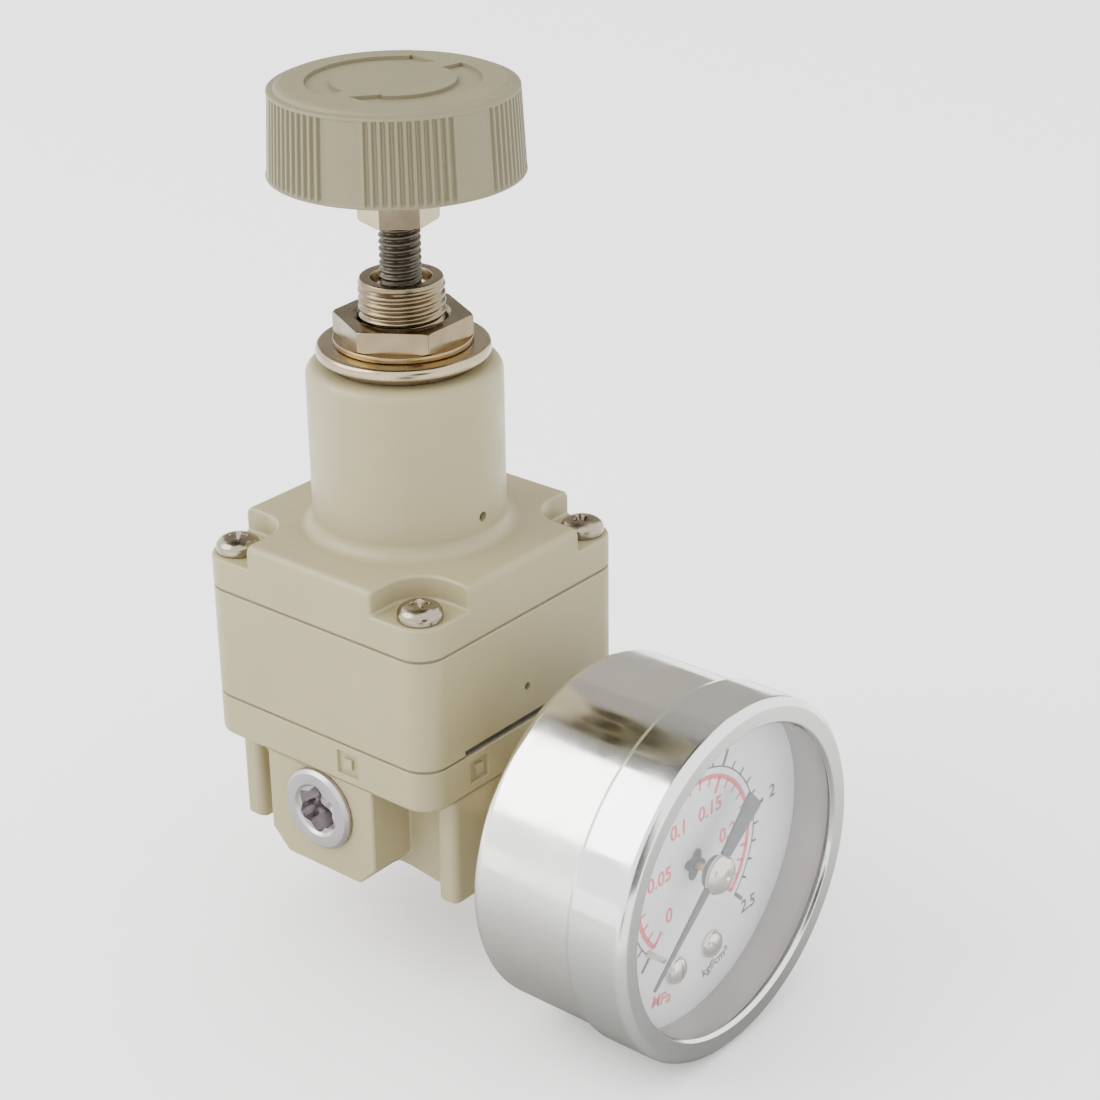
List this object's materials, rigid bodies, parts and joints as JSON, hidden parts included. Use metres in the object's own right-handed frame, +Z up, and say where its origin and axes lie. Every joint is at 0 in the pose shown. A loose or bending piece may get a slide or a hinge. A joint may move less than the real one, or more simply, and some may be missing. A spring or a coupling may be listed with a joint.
{
  "type": "air pressure regulator",
  "caption": "Compact square precision air pressure regulator with a ribbed adjusting knob, panel-mount neck and a side dial gauge on its port.",
  "frame": {"origin": "centre of the bottom face of the valve guide, on the adjusting screw's axis", "axes": "+Z up along the adjusting screw; -Y is the side that carries the gauge; -X is the plugged spare port, +X the supply port, +Y the outlet port"},
  "size_m": [0.0432, 0.0656, 0.1049],
  "materials": {
    "painted_alloy": "satin beige enamel over die-cast aluminium",
    "knob_plastic": "matt grey-beige moulded plastic",
    "nickel_plate": "warm nickel plating",
    "zinc_steel": "zinc plated steel",
    "brass": "turned brass",
    "bronze": "drawn phosphor bronze",
    "chrome": "polished chrome plate",
    "spring_steel": "drawn spring wire",
    "black_rubber": "black nitrile rubber",
    "dial_white": "white enamel dial with printed scales",
    "needle_black": "black enamel",
    "clear_pane": "clear pane",
    "ring_grey": "pale grey moulded ring"
  },
  "bodies": {
    "body": {"lower_body": "painted_alloy", "middle_body": "painted_alloy", "bonnet": "painted_alloy", "bonnet_sleeve": "nickel_plate", "panel_washer": "nickel_plate", "panel_nut": "nickel_plate", "setting_spring": "spring_steel", "control_diaphragm": "black_rubber", "nozzle": "brass", "fixed_orifice": "brass", "pilot_diaphragm": "black_rubber", "diaphragm_spacer": "zinc_steel", "lower_diaphragm": "black_rubber", "vent_strip": "black_rubber", "valve_seat": "brass", "valve_spring": "spring_steel", "valve_guide": "brass", "guide_o_ring": "black_rubber", "cover_screw_1": "zinc_steel", "cover_screw_2": "zinc_steel", "cover_screw_3": "zinc_steel", "cover_screw_4": "zinc_steel", "port_plug": "zinc_steel", "gauge_connector": "brass", "gauge_case": "chrome", "gauge_bezel": "chrome", "dial_ring": "ring_grey", "gauge_window": "clear_pane", "gauge_dial": "dial_white", "dial_screw_1": "nickel_plate", "dial_screw_2": "nickel_plate", "dial_pin": "nickel_plate", "movement_frame": "brass", "bourdon_tube": "bronze", "tube_root": "brass"},
    "valve_stem": {"supply_valve": "brass", "valve_disc": "black_rubber"},
    "pilot_stem": {"exhaust_stem": "brass", "pilot_plate": "zinc_steel"},
    "flapper_stack": {"lower_spring_seat": "zinc_steel", "flapper": "zinc_steel"},
    "spring_carrier": {"upper_spring_seat": "brass"},
    "knob_and_screw": {"knob": "knob_plastic", "adjusting_screw": "zinc_steel", "lock_nut": "nickel_plate"},
    "pointer": {"gauge_needle": "needle_black", "needle_hub": "nickel_plate", "needle_arbor": "brass"},
    "sector": {"sector_gear": "brass"}
  },
  "joints": [
    {"name": "screw_travel", "type": "slide", "parent": "body", "child": "spring_carrier", "axis": [0, 0, 1], "range_m": [-0.0064, 0], "deforming": ["setting_spring"]},
    {"name": "knob_turn", "type": "hinge", "parent": "spring_carrier", "child": "knob_and_screw", "pos_m": [0, 0, 0.06985], "axis": [0, 0, 1], "range_deg": [-2880, 0]},
    {"name": "flapper_lift", "type": "slide", "parent": "body", "child": "flapper_stack", "axis": [0, 0, 1], "range_m": [-0.0002, 0], "stiffness_N_per_m": 4000, "deforming": ["control_diaphragm"]},
    {"name": "stem_stroke", "type": "slide", "parent": "body", "child": "pilot_stem", "axis": [0, 0, 1], "range_m": [-0.0008, 0], "stiffness_N_per_m": 2000, "deforming": ["lower_diaphragm", "pilot_diaphragm"]},
    {"name": "valve_stroke", "type": "slide", "parent": "body", "child": "valve_stem", "axis": [0, 0, 1], "range_m": [-0.0008, 0], "stiffness_N_per_m": 1500, "deforming": ["valve_spring"]},
    {"name": "pointer_turn", "type": "hinge", "parent": "body", "child": "pointer", "pos_m": [0, -0.0445, 0.00885], "axis": [0, 1, 0], "range_deg": [0, 266], "stiffness_Nm_per_rad": 0.00002},
    {"name": "sector_turn", "type": "hinge", "parent": "body", "child": "sector", "pos_m": [-0.0072, -0.0371, 0.00565], "axis": [0, 1, 0], "range_deg": [-59.56, 1]}
  ],
  "couplings": [
    {"joint": "knob_turn", "follows": "screw_travel", "rad_per_m": 7854},
    {"joint": "valve_stroke", "follows": "stem_stroke", "ratio": 1},
    {"joint": "sector_turn", "follows": "pointer_turn", "ratio": -0.22015}
  ]
}
